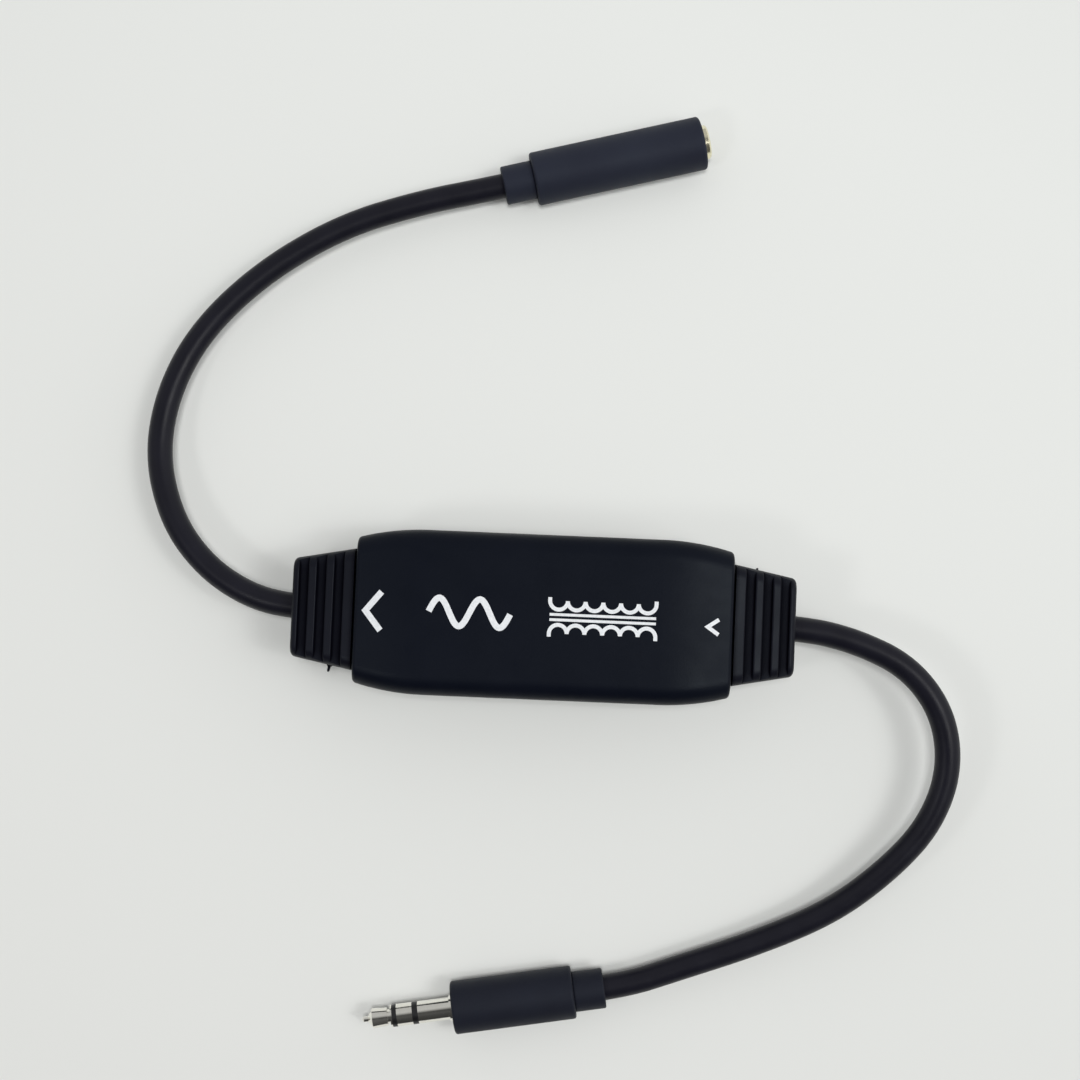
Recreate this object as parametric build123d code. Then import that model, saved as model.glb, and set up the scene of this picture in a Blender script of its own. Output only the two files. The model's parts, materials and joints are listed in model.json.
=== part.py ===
from build123d import *
import math
import os

# Ground loop isolator for stereo audio leads.
# All lengths are in millimetres and all angles in degrees.
# X runs along the housing from the socket end to the plug end, Y lies across it and Z is up.
# The origin is the middle of the housing's underside, on the surface it rests on.

# Housing: two shells that meet half way up
body_length = 58.0
body_width = 25.4
body_height = 20.0
taper_run = 11.0
side_taper = 1.5
face_taper = 1.35
long_edge_radius = 3.0
end_edge_radius = 0.7
cavity_edge_radius = 0.8
wall = 1.6

# Joint between the shells: a lip on the lower one stands in a groove in the upper one
parting_gap = 0.2
lip_height = 1.2
lip_thickness = 0.7
lip_clearance = 0.1

# Snap arms that hang from the upper shell and catch in pockets of the lower one
snap_spacing = 24.0
snap_width = 5.0
snap_thickness = 1.0
snap_drop = 4.0
snap_root = 4.5
barb_depth = 0.5
barb_height = 1.5
barb_land = 0.4
pocket_clearance = 0.1

# Moulded strain relief boots, one at each end
boot_gap = 0.4
boot_length = 9.6
boot_wide = 18.8
boot_narrow = 15.2
boot_tall = 14.5
boot_low = 11.5
boot_corner_radius = 2.0
boot_end_radius = 0.9
groove_count = 3
groove_width = 1.45
groove_depth = 0.8
groove_pitch = 2.75
first_rib = 1.6
rib_edge_radius = 0.25
neck_width = 9.0
neck_height = 8.0
neck_clearance = 0.1
flange_width = 12.0
flange_height = 10.5
flange_thickness = 1.3

# Cords
cord_diameter = 4.0
cord_clearance = 0.1
cord_tail = 0.5
route_depth = 5.0
in_cord_lead = 2.0
out_cord_lead = 1.0
bend_share = 0.45

# Circuit board and the posts that hold it
board_length = 44.0
board_width = 18.0
board_thickness = 1.2
board_corner_radius = 1.0
post_height = 2.4
post_radius = 1.7
post_spacing_x = 37.2
post_spacing_y = 13.6
peg_radius = 0.8
peg_clearance = 0.1
peg_rise = 0.6

# Transformers: a laminated core round a bobbin with two windings
transformer_spacing = 17.0
leg_mid = 4.0
leg_side = 2.0
window_width = 3.0
yoke = 2.0
stack = 5.0
core_lift = 0.6
core_headroom = 1.6
bobbin_clearance = 0.1
bobbin_wall = 0.5
bobbin_flange = 0.6
bobbin_depth = 10.6
foot_clearance = 0.3
primary_thickness = 1.0
secondary_thickness = 0.9
tape_thickness = 0.15
winding_clearance = 0.03
winding_end_gap = 0.05

# Transformer pins and solder
pin_radius = 0.3
pin_pitch = 3.2
pin_hold = 1.8
pin_reach = 1.4
pin_hole_clearance = 0.15
solder_radius = 0.75
solder_height = 1.0

# Wires from each cord to the board
wire_radius = 0.5
strand_radius = 0.25
wire_circle = 0.85
wire_angles = (30.0, 150.0, 270.0)
wire_lead = 1.2
wire_inset = 1.5
wire_pitch = 3.5
wire_bend = 1.2
wire_small_bend = 0.8

# Plug: standard 3.5 mm stereo shaft, 14 mm long, in a moulded grip
shaft_radius = 1.75
plug_body_diameter = 8.3
plug_body_length = 19.4
plug_collar_diameter = 6.3
plug_collar_length = 4.9
plug_sleeve_length = 5.05
plug_ring_insulator_length = 0.9
plug_ring_length = 2.5
plug_tip_insulator_length = 0.75
plug_rim_length = 0.25
plug_groove_length = 0.5
plug_bulb_length = 2.4
plug_cone_length = 0.75
plug_nose_length = 0.9
plug_groove_radius = 1.1
plug_bulb_rear_radius = 1.4
plug_bulb_front_radius = 1.6
plug_nose_radius = 0.45
plug_rod_radius = 0.5
plug_liner_wall = 0.3
plug_tube_wall = 0.3
plug_flange_radius = 2.05
plug_flange_proud = 0.45
plug_flange_thickness = 0.8
plug_tail_step = 1.5
plug_mould_radius = 2.7
plug_mould_length = 13.0
plug_cord_hold = 3.7

# Socket: moulded grip round a metal bushing and a contact carrier
socket_body_diameter = 8.6
socket_body_length = 28.0
socket_collar_diameter = 6.2
socket_collar_length = 5.0
socket_bore_radius = 1.8
bushing_radius = 2.75
bushing_proud = 0.95
bushing_length = 6.0
bushing_flange_radius = 3.1
bushing_flange_thickness = 1.0
bushing_chamfer = 0.25
carrier_length = 12.5
carrier_chamber_radius = 2.35
carrier_back = 3.0
spring_thickness = 0.25
spring_width = 1.2
spring_seat = 1.8
spring_slot_clearance = 0.05
spring_dip = 0.4
spring_ramp = 1.0
tip_spring_depth = 10.2
ring_spring_depth = 7.6
socket_cord_hold = 4.0

# Edge rounding of the two moulded grips
grip_edge_radius = 0.45
collar_edge_radius = 0.3

# Heights and places that follow from the sizes above
mid_z = body_height / 2
end_x = body_length / 2
cavity_end_x = end_x - wall
cavity_half_width = body_width / 2 - wall
boot_start_x = end_x + boot_gap
boot_end_x = boot_start_x + boot_length
flange_outer_x = cavity_end_x - neck_clearance
flange_inner_x = flange_outer_x - flange_thickness
cord_inner_x = flange_inner_x - cord_tail
cord_radius = cord_diameter / 2
board_bottom_z = wall + post_height
board_top_z = board_bottom_z + board_thickness
core_bottom_z = board_top_z + core_lift
core_height = body_height - wall - core_headroom - core_bottom_z
window_height = core_height - 2 * yoke
plug_axis_z = plug_body_diameter / 2
socket_axis_z = socket_body_diameter / 2

# Routes of the two cords. The first two points lie on the housing's centre line, one inside the boot
# and one just outside it. The last two lie on the axis of the plug or the socket.
in_route = [
    (boot_end_x - route_depth, 0.0, mid_z),
    (boot_end_x + in_cord_lead, 0.0, mid_z),
    (49.4, -1.7, 10.2),
    (57.8, -5.4, 10.2),
    (63.4, -12.4, 10.0),
    (65.0, -21.3, 9.0),
    (62.3, -30.2, 7.9),
    (56.0, -37.7, 7.0),
    (47.5, -44.8, 5.7),
    (35.8, -50.4, 4.7),
    (23.7, -54.9, 4.2),
    (15.6, -57.9, plug_axis_z),
    (8.5, -59.14, plug_axis_z),
]
out_route = [
    (-boot_end_x + route_depth, 0.0, mid_z),
    (-boot_end_x - out_cord_lead, 0.0, mid_z),
    (-46.9, 1.6, 9.4),
    (-54.0, 5.9, 8.2),
    (-59.7, 12.9, 7.4),
    (-63.0, 23.3, 6.0),
    (-61.7, 34.0, 5.4),
    (-56.8, 44.1, 5.2),
    (-47.3, 53.9, 5.1),
    (-34.9, 61.9, 4.9),
    (-22.0, 66.4, 4.5),
    (-12.7, 68.65, socket_axis_z),
    (-5.5, 70.55, socket_axis_z),
]

# Overlap that lets two fused forms share volume, a length longer than any cut needs, and how near
# to a plane an edge counts as lying on it
overlap = 0.3
beyond = 2 * body_length
edge_tolerance = 0.01


def slab(low_z, high_z):
    """A wide block between two heights, for keeping or cutting part of a form."""
    return Pos(0, 0, (low_z + high_z) / 2) * Box(beyond, beyond, high_z - low_z)


def block(low, high):
    """A box between two opposite corners."""
    size = [b - a for a, b in zip(low, high)]
    middle = [(a + b) / 2 for a, b in zip(low, high)]
    return Pos(*middle) * Box(*size)


def rod(radius, low_z, high_z):
    """An upright round rod between two heights."""
    return Pos(0, 0, (low_z + high_z) / 2) * Cylinder(radius, high_z - low_z)


def turned(points):
    """A round solid about the X axis, from a closed half profile of (x, radius) points."""
    profile = make_face(Polyline(*points, close=True).edges())
    return revolve(profile, Axis.X)


def tube_x(outer, inner, low_x, high_x):
    """A round tube along the X axis."""
    return turned([(low_x, inner), (high_x, inner), (high_x, outer), (low_x, outer)])


def tapered_outline(length, width, taper):
    """Parallel long sides that curve in by the taper over the last stretch at each end."""
    half_length = length / 2
    half_width = width / 2
    shoulder = half_length - taper_run
    end_half = half_width - taper
    edges = []
    for side in (1, -1):
        edges.append(Line((-shoulder, side * half_width), (shoulder, side * half_width)))
        edges.append(Line((side * half_length, -end_half), (side * half_length, end_half)))
        for end in (1, -1):
            start = (end * shoulder, side * half_width)
            finish = (end * half_length, side * end_half)
            edges.append(TangentArc(start, finish, tangent=(end, 0)))
    return make_face([edge for line in edges for edge in line.edges()])


def plan_form(inset):
    """The housing's plan outline, set in by the inset, as a tall prism."""
    outline = tapered_outline(body_length - 2 * inset, body_width - 2 * inset, side_taper)
    return Pos(0, 0, mid_z) * extrude(outline, body_height, both=True)


def housing_form(inset, long_radius, end_radius):
    """The housing's pillow shape, set in by the inset, with its long and end edges rounded."""
    height = body_height - 2 * inset
    width = body_width - 2 * inset
    outline = tapered_outline(body_length - 2 * inset, height, face_taper)
    side = Pos(0, 0, mid_z) * extrude(Plane.XZ * outline, width, both=True)
    form = plan_form(inset) & side
    long_edges = [edge for edge in form.edges() if edge.bounding_box().size.X > taper_run / 2]
    form = fillet(long_edges, long_radius)
    half_length = body_length / 2 - inset
    end_edges = [edge for edge in form.edges() if abs(edge.center().X) > half_length - edge_tolerance]
    return fillet(end_edges, end_radius)


def shell_blank():
    """The whole hollow housing before it is split."""
    outer = housing_form(0, long_edge_radius, end_edge_radius)
    inner = housing_form(wall, max(long_edge_radius - wall, cavity_edge_radius), cavity_edge_radius)
    return outer - inner


def neck_openings():
    """The two openings in the end walls that the boots' necks pass through."""
    width = neck_width + 2 * neck_clearance
    height = neck_height + 2 * neck_clearance
    openings = Part()
    for end in (1, -1):
        openings += Pos(end * end_x, 0, mid_z) * Box(3 * wall, width, height)
    return openings


def board_posts():
    """Centres of the four posts that hold the board."""
    return [
        (sx * post_spacing_x / 2, sy * post_spacing_y / 2)
        for sx in (1, -1)
        for sy in (1, -1)
    ]


def snap_places():
    """Middle of each snap arm along X, and the side of the housing that it is on."""
    return [(sx * snap_spacing / 2, side) for sx in (1, -1) for side in (1, -1)]


# Heights of the snap's catching face and of the barb's foot
barb_top_z = mid_z - snap_drop + barb_height
barb_foot_z = mid_z - snap_drop
arm_face = cavity_half_width - lip_clearance


def make_lower_shell(blank):
    """Lower half of the housing, with its lip, board posts and snap pockets."""
    rim_z = mid_z - parting_gap / 2
    shell = blank & slab(-overlap, rim_z)
    lip = plan_form(wall - lip_thickness) - plan_form(wall)
    shell += lip & slab(rim_z - overlap, mid_z + lip_height)
    for x, y in board_posts():
        shell += Pos(x, y, 0) * rod(post_radius, wall - overlap, board_bottom_z)
        shell += Pos(x, y, 0) * rod(peg_radius, board_bottom_z - overlap, board_top_z + peg_rise)
    half = snap_width / 2 + pocket_clearance
    depth = barb_depth - lip_clearance + pocket_clearance
    for x, side in snap_places():
        inner = side * (cavity_half_width - overlap)
        outer = side * (cavity_half_width + depth)
        shell -= block(
            (x - half, min(inner, outer), barb_foot_z - pocket_clearance),
            (x + half, max(inner, outer), barb_top_z),
        )
    return shell - neck_openings()


def snap_arm():
    """One snap arm on the +Y side, centred on X, with its barb pointing outwards."""
    low = barb_foot_z
    high = mid_z + lip_height + snap_root
    outline = Polyline(
        (arm_face - snap_thickness, low),
        (arm_face, low),
        (arm_face + barb_depth, barb_top_z - barb_land),
        (arm_face + barb_depth, barb_top_z),
        (arm_face, barb_top_z),
        (arm_face, mid_z + lip_height + lip_clearance),
        (cavity_half_width + overlap, mid_z + lip_height + lip_clearance),
        (cavity_half_width + overlap, high),
        (arm_face - snap_thickness, high),
        close=True,
    )
    face = Plane.YZ * make_face(outline.edges())
    return extrude(face, snap_width / 2, both=True)


def make_upper_shell(blank):
    """Upper half of the housing, with its groove, hold-down posts and snap arms."""
    rim_z = mid_z + parting_gap / 2
    shell = blank & slab(rim_z, body_height + overlap)
    groove = plan_form(wall - lip_thickness - lip_clearance) - plan_form(wall)
    shell -= groove & slab(rim_z - overlap, mid_z + lip_height)
    roof_z = body_height - wall
    for x, y in board_posts():
        shell += Pos(x, y, 0) * rod(post_radius, board_top_z, roof_z + overlap)
        recess = rod(peg_radius + peg_clearance, board_top_z - overlap, board_top_z + 2 * peg_rise)
        shell -= Pos(x, y, 0) * recess
    arm = snap_arm()
    for x, side in snap_places():
        shell += Pos(x, 0, 0) * (arm if side > 0 else Rot(0, 0, 180) * arm)
    return shell - neck_openings()


def boot_half_height(x):
    """Half the boot's height at a distance from its wide end."""
    return (boot_tall + (boot_low - boot_tall) * x / boot_length) / 2


def is_rib_rim(edge):
    """Whether an edge of the grooved block runs along the top of a rib."""
    centre = edge.center()
    upright = edge.bounding_box().size.X < edge_tolerance
    for index in range(groove_count):
        low = first_rib + index * groove_pitch
        floor = boot_half_height(low + groove_width / 2) - groove_depth
        for x in (low, low + groove_width):
            on_wall = abs(centre.X - x) < edge_tolerance
            if upright and on_wall and abs(centre.Z) > floor + edge_tolerance:
                return True
    return False


def make_boot():
    """The boot at the +X end: a tapered block with cross grooves, and a neck that the shells hold."""
    plan = Polyline(
        (0, -boot_wide / 2),
        (boot_length, -boot_narrow / 2),
        (boot_length, boot_narrow / 2),
        (0, boot_wide / 2),
        close=True,
    )
    side = Polyline(
        (0, -boot_tall / 2),
        (boot_length, -boot_low / 2),
        (boot_length, boot_low / 2),
        (0, boot_tall / 2),
        close=True,
    )
    tall_plan = extrude(make_face(plan.edges()), boot_tall, both=True)
    wide_side = extrude(Plane.XZ * make_face(side.edges()), boot_wide, both=True)
    form = tall_plan & wide_side
    long_edges = [edge for edge in form.edges() if edge.bounding_box().size.X > boot_length / 2]
    form = fillet(long_edges, boot_corner_radius)
    end_edges = [edge for edge in form.edges() if edge.center().X > boot_length - edge_tolerance]
    form = fillet(end_edges, boot_end_radius)
    for index in range(groove_count):
        low = first_rib + index * groove_pitch
        high = low + groove_width
        floor = boot_half_height((low + high) / 2) - groove_depth
        for face in (1, -1):
            near = face * floor
            far = face * boot_tall
            form -= block((low, -boot_wide, min(near, far)), (high, boot_wide, max(near, far)))
    rims = [edge for edge in form.edges() if is_rib_rim(edge)]
    form = fillet(rims, rib_edge_radius)
    form = Pos(boot_start_x, 0, mid_z) * form
    neck_x = (flange_inner_x + boot_start_x + overlap) / 2
    form += Pos(neck_x, 0, mid_z) * Box(boot_start_x + overlap - flange_inner_x, neck_width, neck_height)
    flange_x = (flange_inner_x + flange_outer_x) / 2
    form += Pos(flange_x, 0, mid_z) * Box(flange_thickness, flange_width, flange_height)
    bore = tube_x(cord_radius + cord_clearance, 0, flange_inner_x - overlap, boot_end_x + overlap)
    return form - Pos(0, 0, mid_z) * bore


def pin_places(centre_x):
    """Places of a transformer's six pins, three on each side of its core."""
    reach = (stack / 2 + foot_clearance + bobbin_depth / 2) / 2
    return [
        (centre_x + column * pin_pitch, side * reach)
        for column in (-1, 0, 1)
        for side in (1, -1)
    ]


def wire_places(end):
    """Places of the three wires on the board at one end of the housing."""
    x = end * (board_length / 2 - wire_inset)
    return [(x, row * wire_pitch) for row in (1, -1, 0)]


def transformer_places():
    """Middle of each transformer along X."""
    return {"left": -transformer_spacing / 2, "right": transformer_spacing / 2}


def make_board():
    """Circuit board with holes for the pegs, the transformer pins and the wires."""
    board = extrude(RectangleRounded(board_length, board_width, board_corner_radius), board_thickness)
    holes = [(x, y, peg_radius + peg_clearance) for x, y in board_posts()]
    for centre_x in transformer_places().values():
        holes += [(x, y, pin_radius + pin_hole_clearance) for x, y in pin_places(centre_x)]
    for end in (1, -1):
        holes += [(x, y, strand_radius + pin_hole_clearance) for x, y in wire_places(end)]
    for x, y, radius in holes:
        board -= Pos(x, y, 0) * rod(radius, -overlap, board_thickness + overlap)
    return Pos(0, 0, board_bottom_z) * board


def make_core():
    """Stack of E and I laminations, interleaved, with a window on each side of the middle leg."""
    width = leg_mid + 2 * window_width + 2 * leg_side
    core = Box(width, stack, core_height)
    for side in (1, -1):
        window_x = side * (leg_mid + window_width) / 2
        core -= Pos(window_x, 0, 0) * Box(window_width, 2 * stack, window_height)
    return Pos(0, 0, core_bottom_z + core_height / 2) * core


# The bobbin stands in the core's windows, between the yokes
bobbin_low_z = core_bottom_z + yoke + bobbin_clearance
bobbin_high_z = core_bottom_z + yoke + window_height - bobbin_clearance
bobbin_width = leg_mid + 2 * window_width - 2 * bobbin_clearance
tube_width = leg_mid + 2 * bobbin_clearance + 2 * bobbin_wall
tube_depth = stack + 2 * bobbin_clearance + 2 * bobbin_wall
foot_inner = stack / 2 + foot_clearance


def make_bobbin():
    """Bobbin with two flanges, and feet beside the core that hold the pins."""
    low = bobbin_low_z
    high = bobbin_high_z
    bobbin = block((-tube_width / 2, -tube_depth / 2, low), (tube_width / 2, tube_depth / 2, high))
    for start in (low, high - bobbin_flange):
        bobbin += block(
            (-bobbin_width / 2, -bobbin_depth / 2, start),
            (bobbin_width / 2, bobbin_depth / 2, start + bobbin_flange),
        )
    for side in (1, -1):
        near = side * foot_inner
        far = side * bobbin_depth / 2
        bobbin += block(
            (-bobbin_width / 2, min(near, far), board_top_z),
            (bobbin_width / 2, max(near, far), low + overlap),
        )
    hole = (leg_mid / 2 + bobbin_clearance, stack / 2 + bobbin_clearance)
    bobbin -= block((-hole[0], -hole[1], low - overlap), (hole[0], hole[1], high + overlap))
    for x, y in pin_places(0):
        bobbin -= Pos(x, y, 0) * rod(pin_radius, board_top_z - overlap, board_top_z + pin_hold)
    return bobbin


def winding(inner_step, thickness):
    """A layer wound round the bobbin's tube, starting a given distance off it."""
    low = bobbin_low_z + bobbin_flange + winding_end_gap
    high = bobbin_high_z - bobbin_flange - winding_end_gap
    step = inner_step + winding_clearance
    inner = RectangleRounded(tube_width + 2 * step, tube_depth + 2 * step, step)
    reach = step + thickness
    outer = RectangleRounded(tube_width + 2 * reach, tube_depth + 2 * reach, reach)
    return Pos(0, 0, low) * extrude(outer - inner, high - low)


def make_pins():
    """The six pins of one transformer, as separate solids."""
    return [
        Pos(x, y, 0) * rod(pin_radius, board_bottom_z - pin_reach, board_top_z + pin_hold)
        for x, y in pin_places(0)
    ]


def solder_cone(radius):
    """A cone of solder under the board round a pin or strand of the given radius."""
    low = board_bottom_z - solder_height
    middle = board_bottom_z - solder_height / 2
    cone = Pos(0, 0, middle) * Cone(radius + pin_hole_clearance / 2, solder_radius, solder_height)
    return cone - rod(radius, low - overlap, board_bottom_z + overlap)


def make_solder():
    """Every solder joint under the board."""
    joints = []
    pin_joint = solder_cone(pin_radius)
    for centre_x in transformer_places().values():
        joints += [Pos(x, y, 0) * pin_joint for x, y in pin_places(centre_x)]
    wire_joint = solder_cone(strand_radius)
    for end in (1, -1):
        joints += [Pos(x, y, 0) * wire_joint for x, y in wire_places(end)]
    return joints


def swept(path, radius):
    """A round tube along a path."""
    return sweep(Plane(origin=path @ 0, z_dir=path % 0) * Circle(radius), path=path)


def make_wires(end):
    """The three wires between one cord's inner end and the board."""
    wires = []
    for wire_angle, (pad_x, pad_y) in zip(wire_angles, wire_places(end)):
        angle = math.radians(wire_angle)
        start_y = wire_circle * math.cos(angle)
        start_z = mid_z + wire_circle * math.sin(angle)
        start_x = end * cord_inner_x
        points = [(start_x, start_y, start_z), (pad_x, pad_y, start_z), (pad_x, pad_y, board_top_z)]
        bends = [wire_bend]
        if abs(pad_y - start_y) > wire_radius:
            points.insert(1, (start_x - end * wire_lead, start_y, start_z))
            bends.insert(0, wire_small_bend)
        path = FilletPolyline(*points, radius=bends)
        wire = swept(path, wire_radius)
        strand = rod(strand_radius, board_bottom_z - pin_reach, board_top_z + overlap)
        wires.append(wire + Pos(pad_x, pad_y, 0) * strand)
    return wires


def bend_radii(route):
    """Radius of each bend: a share of the shorter run beside it, over the tangent of half its turn."""
    points = [Vector(*point) for point in route]
    radii = []
    for before, here, after in zip(points, points[1:], points[2:]):
        first = here - before
        second = after - here
        half_turn = math.radians(first.get_angle(second) / 2)
        radii.append(bend_share * min(first.length, second.length) / math.tan(half_turn))
    return radii


def make_cord(name, route, inner_end, grip_end):
    """A cord along its route, run on straight at both ends into the boot and the grip."""
    radii = bend_radii(route)
    points = [inner_end] + list(route[1:-1]) + [grip_end]
    path = FilletPolyline(*points, radius=radii)
    cord = swept(path, cord_radius)
    expected = math.pi * cord_radius**2 * path.length
    print(name, "bend radii", [round(radius, 1) for radius in radii])
    print(name, "length", round(path.length, 2))
    print(name, "volume", round(cord.volume, 1), "expected", round(expected, 1))
    return cord


def grip_frame(route, cord_hold, grip_length):
    """Place and heading of a grip on the cord's last run: its front face, with X pointing out of it."""
    before = Vector(*route[-2])
    last = Vector(*route[-1])
    heading = (last - before).normalized()
    front = last + heading * (grip_length - cord_hold)
    angle = math.degrees(math.atan2(heading.Y, heading.X))
    return Location((front.X, front.Y, front.Z), (0, 0, angle))


def grip(body_radius, body_length_x, collar_radius, collar_length):
    """A moulded grip with its front face at X zero and its narrower collar behind."""
    body = tube_x(body_radius, 0, -body_length_x, 0)
    body = fillet(body.edges().filter_by(GeomType.CIRCLE), grip_edge_radius)
    collar = tube_x(collar_radius, 0, -body_length_x - collar_length, -body_length_x / 2)
    back_edges = [edge for edge in collar.edges() if edge.center().X < -body_length_x]
    collar = fillet(back_edges, collar_edge_radius)
    return body + collar


# Stations along the plug's shaft, measured forwards from the grip's front face
sleeve_end = plug_flange_proud + plug_sleeve_length
ring_start = sleeve_end + plug_ring_insulator_length
ring_end = ring_start + plug_ring_length
rim_start = ring_end + plug_tip_insulator_length
rim_end = rim_start + plug_rim_length
bulb_start = rim_end + plug_groove_length
bulb_end = bulb_start + plug_bulb_length
cone_end = bulb_end + plug_cone_length
plug_tip_end = cone_end + plug_nose_length

# Radii of the tubes nested in the shaft, from the middle rod outwards
tip_liner_radius = plug_rod_radius + plug_liner_wall
ring_tube_radius = tip_liner_radius + plug_tube_wall
ring_liner_radius = ring_tube_radius + plug_liner_wall

# Each nested tube ends further back than the one outside it, to bare its solder tail
sleeve_back = -plug_flange_thickness - plug_tail_step
ring_liner_back = sleeve_back - plug_tail_step / 2
ring_back = ring_liner_back - plug_tail_step
tip_liner_back = ring_back - plug_tail_step / 2
rod_back = tip_liner_back - plug_tail_step
plug_mould_back = -plug_mould_length
plug_cord_x = plug_mould_back


def make_plug_pieces():
    """The pieces of the plug about the X axis, with the grip's front face at zero and the tip at +X."""
    nose_ball = plug_nose_radius / 2
    tip = turned([
        (rod_back, 0),
        (rod_back, plug_rod_radius),
        (rim_start, plug_rod_radius),
        (rim_start, shaft_radius),
        (rim_end, shaft_radius),
        (rim_end, plug_groove_radius),
        (bulb_start, plug_groove_radius),
        (bulb_start, plug_bulb_rear_radius),
        (bulb_end, plug_bulb_front_radius),
        (cone_end, plug_nose_radius),
        (plug_tip_end - nose_ball, plug_nose_radius),
        (plug_tip_end, nose_ball),
        (plug_tip_end, 0),
    ])
    tip_insulator = turned([
        (tip_liner_back, plug_rod_radius),
        (rim_start, plug_rod_radius),
        (rim_start, shaft_radius),
        (ring_end, shaft_radius),
        (ring_end, tip_liner_radius),
        (tip_liner_back, tip_liner_radius),
    ])
    ring = turned([
        (ring_back, tip_liner_radius),
        (ring_end, tip_liner_radius),
        (ring_end, shaft_radius),
        (ring_start, shaft_radius),
        (ring_start, ring_tube_radius),
        (ring_back, ring_tube_radius),
    ])
    ring_insulator = turned([
        (ring_liner_back, ring_tube_radius),
        (ring_start, ring_tube_radius),
        (ring_start, shaft_radius),
        (sleeve_end, shaft_radius),
        (sleeve_end, ring_liner_radius),
        (ring_liner_back, ring_liner_radius),
    ])
    sleeve = turned([
        (sleeve_back, ring_liner_radius),
        (sleeve_end, ring_liner_radius),
        (sleeve_end, shaft_radius),
        (plug_flange_proud, shaft_radius),
        (plug_flange_proud, plug_flange_radius),
        (-plug_flange_thickness, plug_flange_radius),
        (-plug_flange_thickness, shaft_radius),
        (sleeve_back, shaft_radius),
    ])
    tails = turned([
        (rod_back, 0),
        (rod_back, plug_rod_radius),
        (tip_liner_back, plug_rod_radius),
        (tip_liner_back, tip_liner_radius),
        (ring_back, tip_liner_radius),
        (ring_back, ring_tube_radius),
        (ring_liner_back, ring_tube_radius),
        (ring_liner_back, ring_liner_radius),
        (sleeve_back, ring_liner_radius),
        (sleeve_back, shaft_radius),
        (-plug_flange_thickness, shaft_radius),
        (-plug_flange_thickness, plug_flange_radius),
        (overlap, plug_flange_radius),
        (overlap, 0),
    ])
    mould = tube_x(plug_mould_radius, 0, plug_mould_back, -plug_flange_thickness)
    outside = grip(plug_body_diameter / 2, plug_body_length, plug_collar_diameter / 2, plug_collar_length)
    back = -plug_body_length - plug_collar_length
    outside -= mould
    outside -= tube_x(plug_flange_radius, 0, -plug_flange_thickness - overlap, overlap)
    outside -= tube_x(cord_radius + cord_clearance, 0, back - overlap, plug_cord_x + overlap)
    return {
        "plug_tip": tip,
        "plug_tip_insulator": tip_insulator,
        "plug_ring": ring,
        "plug_ring_insulator": ring_insulator,
        "plug_sleeve": sleeve,
        "plug_inner_mould": mould - tails,
        "plug_overmould": outside,
    }


# Stations inside the socket, measured back from the grip's front face
bushing_back = bushing_proud - bushing_length
carrier_back_x = bushing_back - carrier_length
chamber_back_x = carrier_back_x + carrier_back
socket_cord_x = carrier_back_x


def contact_spring(depth):
    """A leaf spring above the X axis that dips towards the bore at a given depth from the mouth."""
    contact_x = bushing_proud - depth
    seat = spring_seat
    points = [
        (carrier_back_x, seat),
        (contact_x - 2 * spring_ramp, seat),
        (contact_x, seat - spring_dip),
        (contact_x + spring_ramp, seat),
    ]
    upper = [(x, z + spring_thickness) for x, z in reversed(points)]
    outline = Polyline(*points, *upper, close=True)
    face = Plane.XZ * make_face(outline.edges())
    return extrude(face, spring_width / 2, both=True)


def make_socket_pieces():
    """The pieces of the socket about the X axis, with the grip's front face at zero and the mouth at +X."""
    mouth = bushing_proud
    flange_front = bushing_back + bushing_flange_thickness
    bushing = turned([
        (bushing_back, socket_bore_radius),
        (mouth - bushing_chamfer, socket_bore_radius),
        (mouth, socket_bore_radius + bushing_chamfer),
        (mouth, bushing_radius - bushing_chamfer),
        (mouth - bushing_chamfer, bushing_radius),
        (flange_front, bushing_radius),
        (flange_front, bushing_flange_radius),
        (bushing_back, bushing_flange_radius),
    ])
    carrier = tube_x(bushing_flange_radius, 0, carrier_back_x, bushing_back)
    carrier -= tube_x(carrier_chamber_radius, 0, chamber_back_x, bushing_back + overlap)
    slot_low = spring_seat - spring_slot_clearance
    slot_high = spring_seat + spring_thickness + spring_slot_clearance
    slot_half = spring_width / 2 + spring_slot_clearance
    for side in (1, -1):
        carrier -= block(
            (carrier_back_x - overlap, -slot_half, min(side * slot_low, side * slot_high)),
            (chamber_back_x + overlap, slot_half, max(side * slot_low, side * slot_high)),
        )
    outside = grip(
        socket_body_diameter / 2, socket_body_length, socket_collar_diameter / 2, socket_collar_length
    )
    back = -socket_body_length - socket_collar_length
    outside -= tube_x(bushing_radius, 0, flange_front - overlap, overlap)
    outside -= tube_x(bushing_flange_radius, 0, carrier_back_x, flange_front)
    outside -= tube_x(cord_radius + cord_clearance, 0, back - overlap, socket_cord_x + overlap)
    return {
        "socket_bushing": bushing,
        "socket_contact_carrier": carrier,
        "socket_tip_spring": contact_spring(tip_spring_depth),
        "socket_ring_spring": Rot(180, 0, 0) * contact_spring(ring_spring_depth),
        "socket_overmould": outside,
    }


def place_point(frame, x):
    """A point on a grip's axis, as plain coordinates."""
    point = (frame * Pos(x, 0, 0)).position
    return (point.X, point.Y, point.Z)


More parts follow.
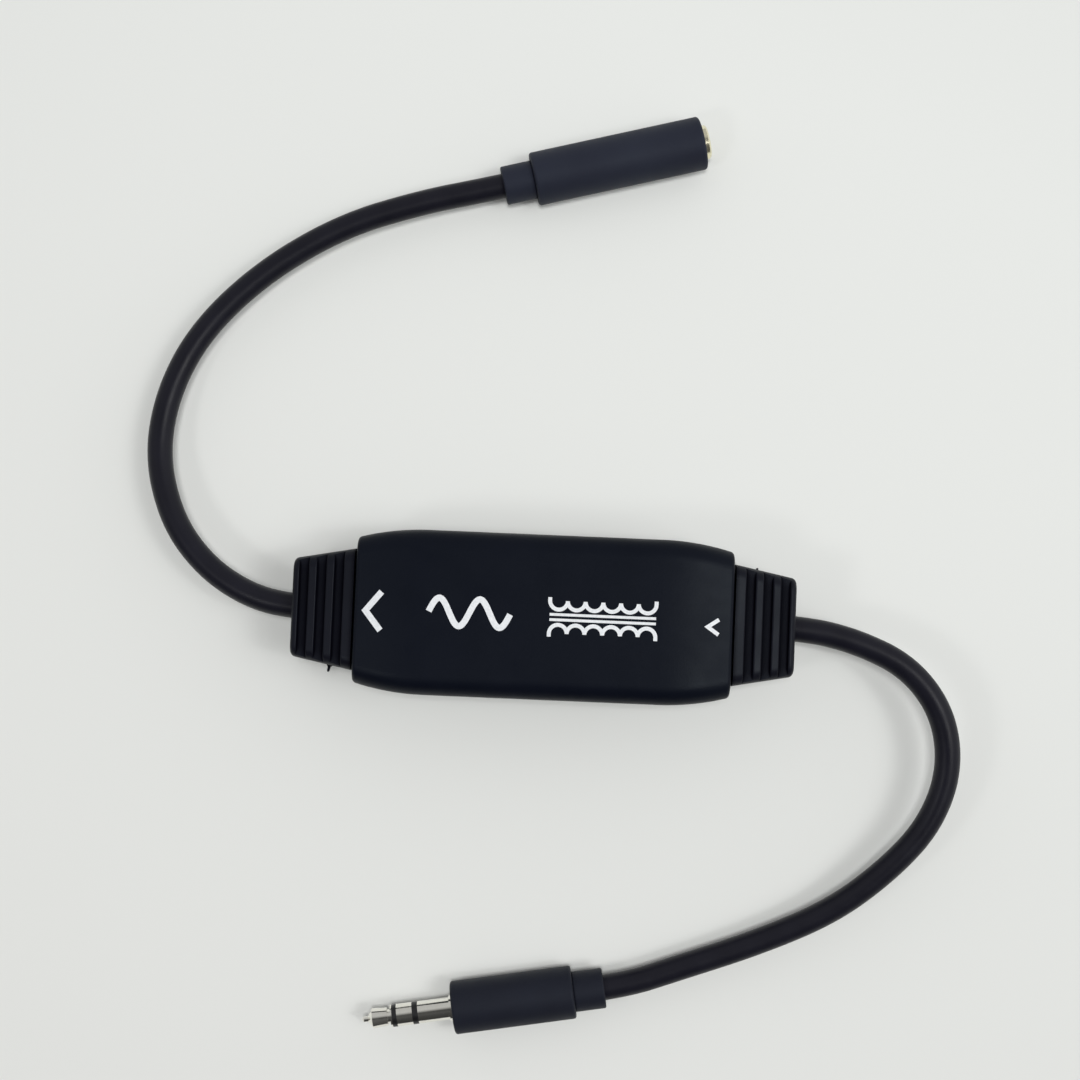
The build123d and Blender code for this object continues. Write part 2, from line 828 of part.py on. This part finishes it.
def build_nodes():
    """Every piece of the isolator by name."""
    blank = shell_blank()
    nodes = {"upper_shell": make_upper_shell(blank), "lower_shell": make_lower_shell(blank)}

    boot = make_boot()
    nodes["boot_in"] = boot
    nodes["boot_out"] = Rot(0, 0, 180) * boot

    nodes["circuit_board"] = make_board()
    nodes["solder_joints"] = Compound(make_solder())
    for channel, centre_x in transformer_places().items():
        pieces = {
            "core": make_core(),
            "bobbin": make_bobbin(),
            "primary_winding": winding(0, primary_thickness),
            "secondary_winding": winding(primary_thickness, secondary_thickness),
            "winding_tape": winding(primary_thickness + secondary_thickness, tape_thickness),
            "pins": Compound(make_pins()),
        }
        for name, piece in pieces.items():
            nodes[channel + "_" + name] = Pos(centre_x, 0, 0) * piece

    for side, end in (("in", 1), ("out", -1)):
        for name, wire in zip(("left_wire", "right_wire", "shield_wire"), make_wires(end)):
            nodes[side + "_" + name] = wire

    plug_frame = grip_frame(in_route, plug_cord_hold, plug_body_length + plug_collar_length)
    socket_frame = grip_frame(out_route, socket_cord_hold, socket_body_length + socket_collar_length)
    for frame, pieces in ((plug_frame, make_plug_pieces()), (socket_frame, make_socket_pieces())):
        for name, piece in pieces.items():
            nodes[name] = frame * piece

    nodes["cord_in"] = make_cord(
        "cord_in", in_route, (cord_inner_x, 0, mid_z), place_point(plug_frame, plug_cord_x)
    )
    nodes["cord_out"] = make_cord(
        "cord_out", out_route, (-cord_inner_x, 0, mid_z), place_point(socket_frame, socket_cord_x)
    )
    return nodes


os.makedirs("parts", exist_ok=True)
for node_name, node in build_nodes().items():
    export_step(node, "parts/" + node_name + ".step")
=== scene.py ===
import bmesh
import bpy
import json
import math
from mathutils import Matrix, Vector
from mathutils.bvhtree import BVHTree


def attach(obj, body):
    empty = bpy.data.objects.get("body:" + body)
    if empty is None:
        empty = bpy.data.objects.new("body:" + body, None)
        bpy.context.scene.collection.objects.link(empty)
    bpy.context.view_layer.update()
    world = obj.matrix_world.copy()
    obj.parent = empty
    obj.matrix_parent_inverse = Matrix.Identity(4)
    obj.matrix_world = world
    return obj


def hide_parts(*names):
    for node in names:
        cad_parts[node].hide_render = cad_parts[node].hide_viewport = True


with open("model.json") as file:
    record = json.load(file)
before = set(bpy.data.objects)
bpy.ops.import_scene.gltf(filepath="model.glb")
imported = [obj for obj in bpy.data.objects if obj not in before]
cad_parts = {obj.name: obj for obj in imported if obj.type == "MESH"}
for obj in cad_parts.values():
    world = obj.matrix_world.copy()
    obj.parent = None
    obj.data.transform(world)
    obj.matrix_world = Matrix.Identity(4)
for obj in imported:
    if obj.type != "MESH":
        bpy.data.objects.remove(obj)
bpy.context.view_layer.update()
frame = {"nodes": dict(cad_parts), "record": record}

# Ground loop isolator. All lengths are metres, written as millimetres times mm.
mm = 0.001
up = Vector((0, 0, 1))
nodes = frame["nodes"]
mount_at = {mount["name"]: mount for mount in frame["record"]["mounts"]}

# Camera: almost straight above, as the photograph was taken
camera_place = Vector((-0.54, 0.0, 300.0)) * mm
camera_tilt = math.radians(2.4)
camera_roll = math.radians(2.43)
frame_pixels = 1080
focal_pixels = 1840
sensor_width = 36.0

# Cords: each leaves its boot half way up the boot's end. The routes are in millimetres, from inside the
# boot to inside the plug's or the socket's grip.
cord_diameter = 4.0 * mm
in_route = [
    (34.0, 0.0, 10.0),
    (41.0, 0.0, 10.0),
    (49.4, -1.7, 10.2),
    (57.8, -5.4, 10.2),
    (63.4, -12.4, 10.0),
    (65.0, -21.3, 9.0),
    (62.3, -30.2, 7.9),
    (56.0, -37.7, 7.0),
    (47.5, -44.8, 5.7),
    (35.8, -50.4, 4.7),
    (23.7, -54.9, 4.2),
    (15.6, -57.9, 4.15),
    (8.5, -59.14, 4.15),
]
out_route = [
    (-34.0, 0.0, 10.0),
    (-40.0, 0.0, 10.0),
    (-46.9, 1.6, 9.4),
    (-54.0, 5.9, 8.2),
    (-59.7, 12.9, 7.4),
    (-63.0, 23.3, 6.0),
    (-61.7, 34.0, 5.4),
    (-56.8, 44.1, 5.2),
    (-47.3, 53.9, 5.1),
    (-34.9, 61.9, 4.9),
    (-22.0, 66.4, 4.5),
    (-12.7, 68.65, 4.3),
    (-5.5, 70.55, 4.3),
]

# Printed marks on the upper shell: a signal wave, a transformer and two arrows. The print stands on the
# shell by its thickness, with a little sunk in, and follows the shell's curve in steps.
print_thickness = 0.02 * mm
print_sink = 0.01 * mm
print_step = 0.6 * mm
weld_distance = 1e-7
bold_stroke = 0.95 * mm
thin_stroke = 0.6 * mm
wave_width = 12.4 * mm
wave_height = 4.2 * mm
wave_count = 2.0
wave_steps = 72
coil_turns = 6
coil_radius = 1.35 * mm
coil_lead = 0.5 * mm
coil_base = 2.5 * mm
core_line = 0.42 * mm
core_offset = 0.4 * mm
arc_steps = 12

# Flakes of moulding flash on the boots. Lean and bow are shares of a flake's height, taper, ripple and
# flatness are shares of its half width, and the turns are in radians from its root to its tip.
flake_levels = 6
flake_sides = 8
flake_lean = 0.15
flake_bow = 0.2
flake_bow_turn = 3
flake_taper = 0.8
flake_ripple = 0.25
flake_ripple_turn = 9
flake_flatness = 0.45

# Floor: how far it reaches, how far it lies below the object, and the direction and half width of its
# painted light
floor_reach = 6.0
floor_gap = 0.02 * mm
painted_light_angle = math.radians(62)
painted_light_half = 100 * mm

# Surroundings: places from -1 to 1 along each axis, and the level there
world_along_x = ((-1, 0.08), (0, 0.0), (0.5, 0.15), (1, 0.85))
world_along_y = ((-1, 0.04), (-0.5, 0.1), (-0.22, 0.22), (0.0, 0.85), (1, 0.78))
world_along_z = ((-1, 0.6), (0.88, 0.6), (0.97, 0.32), (1, 0.03))

# Place of the main lamp, which a wider one shares
key_place = (0.75, -0.08, 1.41)

# Distance between the bands of a wave texture whose scale is one
band_pitch = 0.314


class Finish:
    """A procedural material, with short calls for the nodes that the finishes below share."""

    def __init__(self, name):
        self.material = bpy.data.materials.new(name)
        self.material.use_nodes = True
        self.tree = self.material.node_tree
        self.shader = self.tree.nodes["Principled BSDF"]
        self.place = self.tree.nodes.new("ShaderNodeTexCoord").outputs["Object"]

    def set(self, **values):
        """Sets the shader's own inputs, named with _ for each space."""
        for name, value in values.items():
            self.shader.inputs[name.replace("_", " ")].default_value = value
        return self

    def feed(self, name, output):
        """Links an output to one of the shader's inputs."""
        self.tree.links.new(output, self.shader.inputs[name])
        return self

    def along(self, origin, angle):
        """Coordinates with X along an axis that starts at the origin and is turned about Z."""
        mapping = self.tree.nodes.new("ShaderNodeMapping")
        mapping.vector_type = "TEXTURE"
        mapping.inputs["Location"].default_value = origin
        mapping.inputs["Rotation"].default_value = (0, 0, angle)
        self.tree.links.new(self.place, mapping.inputs["Vector"])
        self.place = mapping.outputs["Vector"]
        return self

    def noise(self, size, detail=3.0, stretch=(1, 1, 1)):
        """Noise whose features are about the given size; the stretch lengthens them along each axis."""
        mapping = self.tree.nodes.new("ShaderNodeMapping")
        mapping.inputs["Scale"].default_value = [1 / s for s in stretch]
        self.tree.links.new(self.place, mapping.inputs["Vector"])
        noise = self.tree.nodes.new("ShaderNodeTexNoise")
        noise.inputs["Scale"].default_value = 1 / size
        noise.inputs["Detail"].default_value = detail
        self.tree.links.new(mapping.outputs["Vector"], noise.inputs["Vector"])
        return noise.outputs["Fac"]

    def cells(self, size):
        """The distance from the middle of the nearest of many small cells."""
        cells = self.tree.nodes.new("ShaderNodeTexVoronoi")
        cells.inputs["Scale"].default_value = 1 / size
        self.tree.links.new(self.place, cells.inputs["Vector"])
        return cells.outputs["Distance"]

    def bands(self, step, axis):
        """Slightly uneven bands, a step apart along one axis."""
        wave = self.tree.nodes.new("ShaderNodeTexWave")
        wave.bands_direction = axis
        wave.inputs["Scale"].default_value = band_pitch / step
        wave.inputs["Distortion"].default_value = 0.4
        self.tree.links.new(self.place, wave.inputs["Vector"])
        return wave.outputs["Fac"]

    def first_axis(self):
        """The first coordinate on its own."""
        split = self.tree.nodes.new("ShaderNodeSeparateXYZ")
        self.tree.links.new(self.place, split.inputs[0])
        return split.outputs["X"]

    def openness(self, reach):
        """How open a place is: one on a flat or rounded face, less in grooves and corners."""
        opening = self.tree.nodes.new("ShaderNodeAmbientOcclusion")
        opening.inputs["Distance"].default_value = reach
        opening.samples = 8
        return opening.outputs["AO"]

    def spread(self, value, low, high, centre=0.5, half=0.25):
        """A value that lies around the centre, mapped to a range."""
        spread = self.tree.nodes.new("ShaderNodeMapRange")
        spread.inputs["From Min"].default_value = centre - half
        spread.inputs["From Max"].default_value = centre + half
        spread.inputs["To Min"].default_value = low
        spread.inputs["To Max"].default_value = high
        self.tree.links.new(value, spread.inputs["Value"])
        return spread.outputs["Result"]

    def blend(self, value, first, second):
        """Two colours blended by a value."""
        ramp = self.tree.nodes.new("ShaderNodeValToRGB")
        ramp.color_ramp.elements[0].color = (*first, 1)
        ramp.color_ramp.elements[1].color = (*second, 1)
        self.tree.links.new(value, ramp.inputs["Fac"])
        return ramp.outputs["Color"]

    def dimmed(self, colour, amount):
        """A colour scaled by an amount."""
        scale = self.tree.nodes.new("ShaderNodeVectorMath")
        scale.operation = "SCALE"
        self.tree.links.new(colour, scale.inputs[0])
        self.tree.links.new(amount, scale.inputs["Scale"])
        return scale.outputs["Vector"]

    def bump(self, *layers):
        """Stacks layers of relief, each a height output and its depth in metres."""
        normal = None
        for height, depth in layers:
            bump = self.tree.nodes.new("ShaderNodeBump")
            bump.inputs["Strength"].default_value = 1.0
            bump.inputs["Distance"].default_value = depth
            self.tree.links.new(height, bump.inputs["Height"])
            if normal is not None:
                self.tree.links.new(normal, bump.inputs["Normal"])
            normal = bump.outputs["Normal"]
        return self.feed("Normal", normal)


def srgb(red, green, blue):
    """A colour given as screen values from 0 to 255."""
    return tuple(
        v / 12.92 if v <= 0.04045 else ((v + 0.055) / 1.055) ** 2.4
        for v in (red / 255, green / 255, blue / 255)
    )


def moulded(name, dark, light, roughness, grain, depth, specular, reach=0.3 * mm):
    """Moulded plastic: a fine eroded grain, a soft mottle, patches of other gloss and painted shade in its
    recesses.
    """
    patch = 9 * mm
    finish = Finish(name)
    opening = finish.openness(reach)
    mottle = finish.spread(finish.noise(patch, 4.0), 0.0, 1.0)
    # Painted shade: the colour is dimmed where the surface is closed in, in grooves and corners, where
    # shade falls.
    painted_recess_shade = finish.spread(opening, 0.35, 1.0, 0.8, 0.2)
    finish.feed("Base Color", finish.dimmed(finish.blend(mottle, dark, light), painted_recess_shade))
    worn = finish.noise(patch * 0.6, 5.0)
    finish.feed("Roughness", finish.spread(worn, roughness - 0.06, roughness + 0.06))
    # Painted shade: the shine is dimmed in grooves and corners too.
    finish.feed("Specular IOR Level", finish.spread(opening, 0.02, specular, 0.85, 0.15))
    finish.set(Specular_Tint=(0.84, 0.94, 1.0, 1.0))
    finish.bump((finish.noise(grain, 2.0), depth), (finish.cells(grain * 1.7), depth * 0.6))
    return finish.material


def cord_jacket():
    """Soft PVC jacket with a faint orange peel."""
    finish = Finish("cord_jacket")
    mottle = finish.spread(finish.noise(6 * mm, 4.0), 0.0, 1.0)
    finish.feed("Base Color", finish.blend(mottle, srgb(17, 17, 25), srgb(22, 22, 31)))
    finish.feed("Roughness", finish.spread(finish.noise(3 * mm, 4.0), 0.34, 0.44))
    finish.set(Specular_IOR_Level=0.21)
    finish.bump((finish.noise(1.4 * mm, 2.0), 0.025 * mm), (finish.noise(0.25 * mm, 1.0), 0.006 * mm))
    return finish.material


def turned_metal(name, colour, tint, roughness, mount):
    """Plated metal with fine rings from turning round a mount's axis, and a faint change of tint."""
    x, y, _ = mount_at[mount]["axis"]
    finish = Finish(name).along(mount_at[mount]["pos_m"], math.atan2(y, x))
    rings = finish.noise(0.09 * mm, 3.0, (1, 60, 60))
    stain = finish.spread(finish.noise(1.8 * mm, 4.0), 0.0, 1.0)
    finish.feed("Base Color", finish.blend(stain, colour, tint))
    finish.feed("Roughness", finish.spread(rings, roughness - 0.05, roughness + 0.07))
    finish.set(Metallic=1.0)
    finish.bump((rings, 0.0015 * mm))
    return finish.material


def plain(name, dark, light, roughness, metallic=0.0, size=2 * mm):
    """A plain finish for what is inside: mottled colour, uneven gloss and a slight relief."""
    finish = Finish(name)
    noise = finish.noise(size, 4.0)
    finish.feed("Base Color", finish.blend(finish.spread(noise, 0.0, 1.0), dark, light))
    finish.feed("Roughness", finish.spread(noise, roughness - 0.05, roughness + 0.05))
    finish.set(Metallic=metallic)
    finish.bump((finish.noise(size / 6, 2.0), 0.01 * mm))
    return finish.material


def layered(name, dark, light, step, axis, roughness):
    """Stacked laminations or wound wire: fine regular bands of metal across one axis."""
    finish = Finish(name)
    bands = finish.bands(step, axis)
    finish.feed("Base Color", finish.blend(bands, dark, light))
    finish.feed("Roughness", finish.spread(finish.noise(1.5 * mm), roughness - 0.08, roughness + 0.08))
    finish.set(Metallic=1.0)
    finish.bump((bands, step / 4))
    return finish.material


def ink():
    """White pad print: slightly uneven cover over the dark plastic."""
    finish = Finish("print_ink")
    cover = finish.spread(finish.noise(0.35 * mm, 4.0), 0.0, 1.0, half=0.3)
    finish.feed("Base Color", finish.blend(cover, srgb(206, 210, 214), srgb(232, 234, 236)))
    finish.feed("Roughness", finish.spread(finish.noise(1 * mm), 0.42, 0.56))
    finish.bump((finish.noise(0.2 * mm, 2.0), 0.004 * mm))
    return finish.material


jacket = cord_jacket()
print_ink = ink()
boot_rubber = moulded(
    "boot_rubber", srgb(9, 9, 18), srgb(13, 13, 23), 0.45, 0.2 * mm, 0.008 * mm, 0.19, reach=1.2 * mm
)
plug_grip = moulded(
    "plug_grip_rubber", srgb(22, 23, 32), srgb(26, 28, 38), 0.56, 0.14 * mm, 0.008 * mm, 0.22
)
finishes = {
    "housing_black": moulded(
        "housing_plastic", srgb(6, 9, 19), srgb(10, 13, 23), 0.43, 0.16 * mm, 0.010 * mm, 0.14
    ),
    "boot_black": boot_rubber,
    "grip_black": moulded(
        "grip_rubber", srgb(31, 33, 45), srgb(36, 39, 51), 0.58, 0.14 * mm, 0.008 * mm, 0.25
    ),
    "nickel": turned_metal("nickel_plate", (0.93, 0.92, 0.86), (0.88, 0.86, 0.79), 0.11, "plug_shaft"),
    "gilt_ring": turned_metal("gilt_plate", (0.92, 0.87, 0.66), (0.86, 0.8, 0.56), 0.2, "socket_bore"),
    "insulator_black": plain("insulator_plastic", srgb(14, 14, 16), srgb(20, 20, 22), 0.4, size=0.6 * mm),
    "inner_mould_white": plain("inner_mould_plastic", srgb(214, 211, 200), srgb(224, 221, 211), 0.5),
    "carrier_black": plain("carrier_plastic", srgb(22, 22, 24), srgb(28, 28, 30), 0.45),
    "spring_metal": plain("spring_bronze", (0.78, 0.62, 0.4), (0.84, 0.7, 0.48), 0.24, 1.0),
    "board_green": plain("board_resin", srgb(22, 78, 42), srgb(30, 92, 52), 0.42),
    "solder": plain("solder_tin", (0.66, 0.66, 0.67), (0.74, 0.74, 0.75), 0.28, 1.0, 0.7 * mm),
    "core_steel": layered("core_laminations", (0.28, 0.28, 0.3), (0.42, 0.42, 0.44), 0.35 * mm, "Y", 0.42),
    "bobbin_white": plain("bobbin_nylon", srgb(206, 202, 188), srgb(220, 216, 204), 0.5),
    "copper": layered("copper_windings", (0.62, 0.25, 0.11), (0.85, 0.42, 0.22), 0.12 * mm, "Z", 0.32),
    "tape_yellow": plain("winding_tape", srgb(214, 176, 62), srgb(226, 190, 82), 0.35),
    "pin_metal": plain("pin_tin", (0.68, 0.68, 0.66), (0.76, 0.76, 0.74), 0.26, 1.0, 0.5 * mm),
    "wire_white": plain("white_insulation", srgb(216, 216, 212), srgb(226, 226, 222), 0.45, size=1 * mm),
    "wire_red": plain("red_insulation", srgb(158, 24, 22), srgb(176, 34, 30), 0.45, size=1 * mm),
    "wire_black": plain("black_insulation", srgb(22, 22, 24), srgb(30, 30, 32), 0.45, size=1 * mm),
}


def dress_nodes():
    """Gives each carried-over piece the finish of its material slot; the plug's grip gets a darker finish
    of its own.
    """
    for entry in frame["record"]["subparts"]:
        slot = entry["material_slot"]
        if slot in finishes:
            mesh = nodes[entry["node"]].data
            mesh.materials.clear()
            mesh.materials.append(finishes[slot])
    nodes["plug_overmould"].data.materials[0] = plug_grip


def add_piece(name, data, finish):
    """Links a new object that rides with the housing."""
    piece = bpy.data.objects.new(name, data)
    bpy.context.scene.collection.objects.link(piece)
    piece.data.materials.append(finish)
    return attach(piece, "root")


def finished_mesh(name, form):
    """The form as a mesh, with its faces turned outwards."""
    bmesh.ops.recalc_face_normals(form, faces=form.faces[:])
    mesh = bpy.data.meshes.new(name)
    form.to_mesh(mesh)
    form.free()
    return mesh


def add_cord(name, route, replaced):
    """A free cord on a smooth line through its route."""
    curve = bpy.data.curves.new(name, "CURVE")
    curve.dimensions = "3D"
    spline = curve.splines.new("NURBS")
    spline.points.add(len(route) - 1)
    for point, (x, y, z) in zip(spline.points, route):
        point.co = (x * mm, y * mm, z * mm, 1)
    spline.order_u = 3
    spline.use_endpoint_u = True
    spline.resolution_u = 16
    curve.bevel_depth = cord_diameter / 2
    curve.bevel_resolution = 8
    curve.use_fill_caps = True
    cord = add_piece(name, curve, jacket)
    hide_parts(replaced)


def strip(first, second):
    """Four-sided faces between two lines of as many points each."""
    return list(zip(first, first[1:], second[1:], second))


def ribbon(points, width):
    """A stroke of even width along points, with mitred corners and flat ends."""
    line = [Vector(point) for point in points]
    left, right = [], []
    for index, here in enumerate(line):
        ahead = (line[min(index + 1, len(line) - 1)] - here).normalized()
        behind = (here - line[max(index - 1, 0)]).normalized()
        if index == 0:
            behind = ahead
        if index == len(line) - 1:
            ahead = behind
        across = Vector((-ahead.y - behind.y, ahead.x + behind.x)).normalized()
        reach = width / 2 / across.dot(Vector((-ahead.y, ahead.x)))
        left.append(here + across * reach)
        right.append(here - across * reach)
    return strip(left, right)


def arc(centre_x, radius, start, end):
    """Points of an arc about a centre on the X axis, with its angles in degrees."""
    angles = [math.radians(start + (end - start) * step / arc_steps) for step in range(arc_steps + 1)]
    return [Vector((centre_x + radius * math.cos(a), radius * math.sin(a))) for a in angles]


def wave_mark():
    """A few waves of a plain signal line."""
    points = []
    for step in range(wave_steps + 1):
        share = step / wave_steps
        y = wave_height / 2 * math.sin(2 * math.pi * wave_count * share)
        points.append(((share - 0.5) * wave_width, y))
    return ribbon(points, bold_stroke)


def coil(side):
    """A row of joined half rings that bulge towards the middle line, with a lead at each end."""
    outer = coil_radius + thin_stroke / 2
    inner = coil_radius - thin_stroke / 2
    meet = math.degrees(math.acos(coil_radius / outer))
    last = coil_turns - 1
    faces = []
    for index in range(coil_turns):
        centre_x = (2 * index - last) * coil_radius
        inner_arc = arc(centre_x, inner, 180, 360)
        outer_arc = arc(centre_x, outer, 180 + (meet if index else 0), 360 - (meet if index < last else 0))
        if index:
            faces.append((ring_end, inner_arc[0], outer_arc[0]))
        faces += strip(inner_arc, outer_arc)
        ring_end = inner_arc[-1]
    for x in (-coil_turns * coil_radius, coil_turns * coil_radius):
        low, high = x - thin_stroke / 2, x + thin_stroke / 2
        corners = ((low, coil_lead), (high, coil_lead), (high, 0), (low, 0))
        faces.append([Vector(corner) for corner in corners])
    return [[Vector((x, side * (y + coil_base))) for x, y in face] for face in faces]


def transformer_mark():
    """The plain circuit symbol of a transformer: two coils with two core lines between them."""
    half = coil_turns * coil_radius
    faces = []
    for side in (1, -1):
        y = side * core_offset
        faces += coil(side)
        faces += ribbon([(-half, y), (half, y)], core_line)
    return faces


def arrow_mark(length, width, stroke):
    """A chevron that points along -X, the way that the signal runs."""
    return ribbon([(length / 2, width / 2), (-length / 2, 0), (length / 2, -width / 2)], stroke)


def add_mark(name, faces, centre):
    """A thin print that lies on the shell, made from flat faces round a centre."""
    form = bmesh.new()
    for face in faces:
        form.faces.new([form.verts.new((x + centre[0], y + centre[1], 0)) for x, y in face])
    bmesh.ops.remove_doubles(form, verts=form.verts[:], dist=weld_distance)
    bmesh.ops.triangulate(form, faces=form.faces[:])
    low = min(v.co.x for v in form.verts)
    high = max(v.co.x for v in form.verts)
    x = low + print_step
    while x < high:
        geometry = form.verts[:] + form.edges[:] + form.faces[:]
        bmesh.ops.bisect_plane(
            form, geom=geometry, plane_co=(x, 0, 0), plane_no=(1, 0, 0), dist=weld_distance
        )
        x += print_step
    bmesh.ops.recalc_face_normals(form, faces=form.faces[:])
    if form.faces[:][0].normal.z < 0:
        bmesh.ops.reverse_faces(form, faces=form.faces[:])
    for vert in form.verts:
        vert.co.z = shell.ray_cast(vert.co + up, -up)[0].z - print_sink
    raised = bmesh.ops.extrude_face_region(form, geom=form.faces[:])["geom"]
    lifted = [item for item in raised if isinstance(item, bmesh.types.BMVert)]
    bmesh.ops.translate(form, verts=lifted, vec=up * (print_thickness + print_sink))
    add_piece(name, finished_mesh(name, form), print_ink)


def add_flake(name, root, out, height, width):
    """A torn flake of moulding flash: a bent, tapering sliver that stands on a boot's side."""
    form = bmesh.new()
    out = Vector(out).normalized()
    side = out.cross(up)
    rings = []
    for level in range(flake_levels + 1):
        share = level / flake_levels
        lean = side * height * flake_lean * share**2
        bow = up * height * flake_bow * math.sin(flake_bow_turn * share)
        middle = Vector(root) + out * height * share + (lean + bow)
        ripple = 1 + flake_ripple * math.sin(flake_ripple_turn * share)
        half = width / 2 * (1 - flake_taper * share) * ripple
        thin = half * flake_flatness
        rings.append([
            form.verts.new(middle + side * half * math.cos(a) + up * thin * math.sin(a))
            for a in (2 * math.pi * step / flake_sides for step in range(flake_sides))
        ])
    for lower, upper in zip(rings, rings[1:]):
        for step in range(flake_sides):
            after = (step + 1) % flake_sides
            form.faces.new((lower[step], lower[after], upper[after], upper[step]))
    form.faces.new(rings[0][::-1])
    form.faces.new(rings[-1])
    mesh = finished_mesh(name, form)
    for polygon in mesh.polygons:
        polygon.use_smooth = True
    flake = add_piece(name, mesh, boot_rubber)


def add_floor():
    """Pale floor, wide enough to fill every view, with painted light: its colour grows lighter towards one
    side.
    """
    mesh = bpy.data.meshes.new("floor")
    square = ((-1, -1), (1, -1), (1, 1), (-1, 1))
    corners = [(x * floor_reach, y * floor_reach, -floor_gap) for x, y in square]
    mesh.from_pydata(corners, [], [(0, 1, 2, 3)])
    floor = bpy.data.objects.new("floor", mesh)
    bpy.context.scene.collection.objects.link(floor)
    finish = Finish("floor_card")
    # Painted light and shade: the floor's colour grows lighter along a turned axis, as if more light fell
    # on one side.
    across = finish.along((0, 0, 0), painted_light_angle).first_axis()
    painted_light_tone = finish.spread(across, 0.0, 1.0, centre=0.0, half=painted_light_half)
    finish.feed("Base Color", finish.blend(painted_light_tone, srgb(216, 217, 214), srgb(227, 229, 226)))
    finish.set(Roughness=0.9, Specular_IOR_Level=0.1)
    mesh.materials.append(finish.material)


def add_light(name, place, size, power, shines=True):
    """A soft lamp aimed at the origin; one that doesn't shine isn't mirrored in what it lights."""
    lamp = bpy.data.lights.new(name, "AREA")
    lamp.shape = "RECTANGLE"
    lamp.size, lamp.size_y = size
    lamp.energy = power
    light = bpy.data.objects.new(name, lamp)
    light.location = place
    light.rotation_mode = "QUATERNION"
    light.rotation_quaternion = (-light.location).to_track_quat("-Z", "Y")
    light.visible_glossy = shines
    bpy.context.scene.collection.objects.link(light)


def add_world():
    """Plain surroundings: dark overhead, where the camera is held, and brighter towards +X and +Y."""
    world = bpy.data.worlds.new("studio")
    bpy.context.scene.world = world
    world.use_nodes = True
    tree = world.node_tree
    split = tree.nodes.new("ShaderNodeSeparateXYZ")
    tree.links.new(tree.nodes.new("ShaderNodeTexCoord").outputs["Generated"], split.inputs[0])

    def level(axis, stops):
        """The level along one axis, from stops of a place and its level."""
        curve = tree.nodes.new("ShaderNodeFloatCurve")
        line = curve.mapping.curves[0]
        while len(line.points) < len(stops):
            line.points.new(0.5, 0.5)
        for point, (position, height) in zip(line.points, stops):
            point.location = (position / 2 + 0.5, height)
            point.handle_type = "VECTOR"
        curve.mapping.update()
        shift = tree.nodes.new("ShaderNodeMapRange")
        shift.inputs["From Min"].default_value = -1
        tree.links.new(split.outputs[axis], shift.inputs["Value"])
        tree.links.new(shift.outputs["Result"], curve.inputs["Value"])
        return curve.outputs["Value"]

    def joined(operation, first, second):
        """Two levels added or multiplied."""
        node = tree.nodes.new("ShaderNodeMath")
        node.operation = operation
        tree.links.new(first, node.inputs[0])
        tree.links.new(second, node.inputs[1])
        return node.outputs["Value"]

    sides = joined("ADD", level("X", world_along_x), level("Y", world_along_y))
    background = tree.nodes["Background"]
    tree.links.new(joined("MULTIPLY", sides, level("Z", world_along_z)), background.inputs["Strength"])
    background.inputs["Color"].default_value = (1, 1, 1, 1)


def add_camera():
    """The camera, turned as it was held over the object."""
    camera = bpy.data.cameras.new("camera")
    camera.sensor_width = sensor_width
    camera.lens = focal_pixels / frame_pixels * sensor_width
    camera.clip_start = 5 * mm
    camera.clip_end = 20.0
    holder = bpy.data.objects.new("camera", camera)
    turn = Matrix.Rotation(camera_roll, 4, "Z") @ Matrix.Rotation(camera_tilt, 4, "X")
    holder.matrix_world = Matrix.Translation(camera_place) @ turn
    bpy.context.scene.collection.objects.link(holder)
    bpy.context.scene.camera = holder


dress_nodes()
add_camera()
add_cord("input_cord", in_route, "cord_in")
add_cord("output_cord", out_route, "cord_out")

# The upper shell's faces, on which the marks are laid from above
shell_mesh = nodes["upper_shell"].data
shell_points = [vertex.co for vertex in shell_mesh.vertices]
shell_faces = [polygon.vertices[:] for polygon in shell_mesh.polygons]
shell = BVHTree.FromPolygons(shell_points, shell_faces)
output_arrow = arrow_mark(length=2.4 * mm, width=5.9 * mm, stroke=bold_stroke)
input_arrow = arrow_mark(length=1.7 * mm, width=2.3 * mm, stroke=thin_stroke)
add_mark("wave_mark", wave_mark(), centre=(-11.3 * mm, 0.2 * mm))
add_mark("transformer_mark", transformer_mark(), centre=(9.0 * mm, 0.1 * mm))
add_mark("output_arrow", output_arrow, centre=(-26.0 * mm, -0.1 * mm))
add_mark("input_arrow", input_arrow, centre=(25.9 * mm, -0.4 * mm))

# Each flake grows from the parting line, half way up a boot's long side
output_root = (-33.2 * mm, -8.5 * mm, 10 * mm)
input_root = (33.2 * mm, 8.45 * mm, 10 * mm)
add_flake("output_boot_flash", output_root, out=(-0.05, -1, 0.1), height=1.5 * mm, width=1.1 * mm)
add_flake("input_boot_flash", input_root, out=(0.1, 1, 0.1), height=0.75 * mm, width=0.9 * mm)

add_floor()
add_world()
add_light("key", key_place, size=(0.14, 0.28), power=2.35)
add_light("key_glow", key_place, size=(0.7, 0.7), power=5.2)
add_light("side_fill", (-0.18, -0.09, 0.31), size=(0.06, 0.06), power=0.12)
add_light("overhead", (0.0, 0.01, 0.7), size=(0.1, 0.1), power=1.95, shines=False)

bpy.context.scene.view_settings.view_transform = "Standard"
